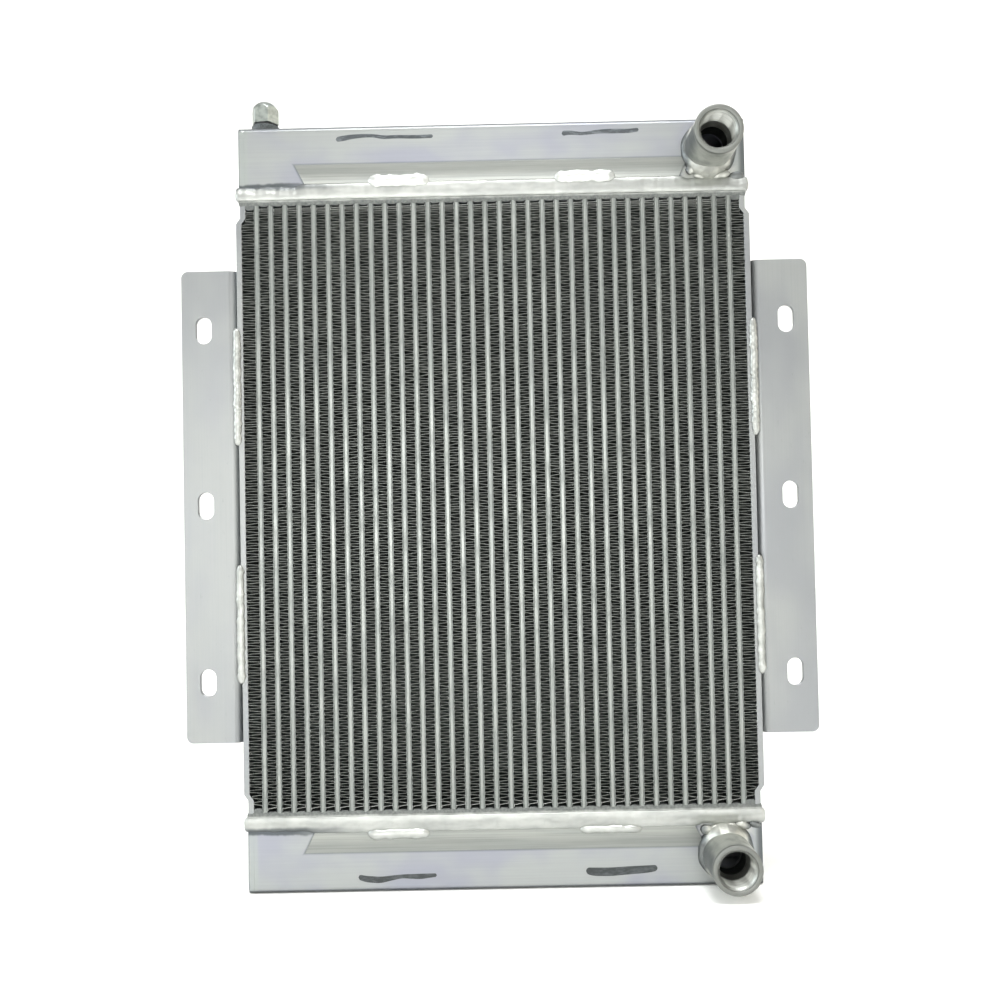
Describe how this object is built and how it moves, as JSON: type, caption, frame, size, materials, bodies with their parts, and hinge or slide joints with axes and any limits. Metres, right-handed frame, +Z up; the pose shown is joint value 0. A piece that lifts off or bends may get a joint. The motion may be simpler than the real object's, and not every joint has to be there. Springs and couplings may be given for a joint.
{
  "type": "hydraulic oil cooler",
  "caption": "Upright bar-and-plate oil cooler with folded air fins, welded tanks above and below, slotted side flanges, two front ports and a bleed plug.",
  "frame": {"origin": "centre of the lower tank's underside, in the middle plane of the core", "axes": "+Z up through the core, +Y to the back, ports facing -Y, +X to the side of the ports"},
  "size_m": [0.5524, 0.1155, 0.7075],
  "materials": {
    "core_aluminium": "satin",
    "fin_aluminium": "matte",
    "tank_aluminium": "satin",
    "bracket_aluminium": "satin",
    "weld_aluminium": "rough",
    "plug_steel": "satin",
    "adapter_steel": "matte",
    "seal_rubber": "matte"
  },
  "bodies": {
    "cooler": {"separator_plates": "core_aluminium", "front_oil_bars": "core_aluminium", "rear_oil_bars": "core_aluminium", "upper_air_bars": "core_aluminium", "lower_air_bars": "core_aluminium", "air_fins_left": "fin_aluminium", "air_fins_middle": "fin_aluminium", "air_fins_right": "fin_aluminium", "edge_fins": "fin_aluminium", "oil_turbulators": "fin_aluminium", "left_side_plate": "core_aluminium", "right_side_plate": "core_aluminium", "upper_tank": "tank_aluminium", "upper_tank_left_cap": "tank_aluminium", "upper_tank_right_cap": "tank_aluminium", "lower_tank": "tank_aluminium", "lower_tank_left_cap": "tank_aluminium", "lower_tank_right_cap": "tank_aluminium", "upper_stiffener": "tank_aluminium", "lower_stiffener": "tank_aluminium", "upper_port": "tank_aluminium", "lower_port": "tank_aluminium", "bleed_boss": "tank_aluminium", "bleed_adapter": "adapter_steel", "left_bracket": "bracket_aluminium", "right_bracket": "bracket_aluminium", "upper_seam_weld": "weld_aluminium", "lower_seam_weld": "weld_aluminium", "upper_stitch_welds": "weld_aluminium", "lower_stitch_welds": "weld_aluminium", "upper_port_weld": "weld_aluminium", "lower_port_weld": "weld_aluminium", "bleed_boss_weld": "weld_aluminium", "left_bracket_welds": "weld_aluminium", "right_bracket_welds": "weld_aluminium"},
    "seal_ring": {"bleed_seal": "seal_rubber"},
    "plug": {"bleed_plug": "plug_steel"}
  },
  "joints": [
    {"name": "plug_lift", "type": "slide", "parent": "cooler", "child": "seal_ring", "axis": [0, 0, 1], "range_m": [0, 0.012]},
    {"name": "plug_turn", "type": "hinge", "parent": "seal_ring", "child": "plug", "pos_m": [-0.2067, 0, 0.688], "axis": [0, 0, 1], "range_deg": [0, 2880]}
  ],
  "couplings": [
    {"joint": "plug_turn", "follows": "plug_lift", "rad_per_m": 4188.8}
  ]
}
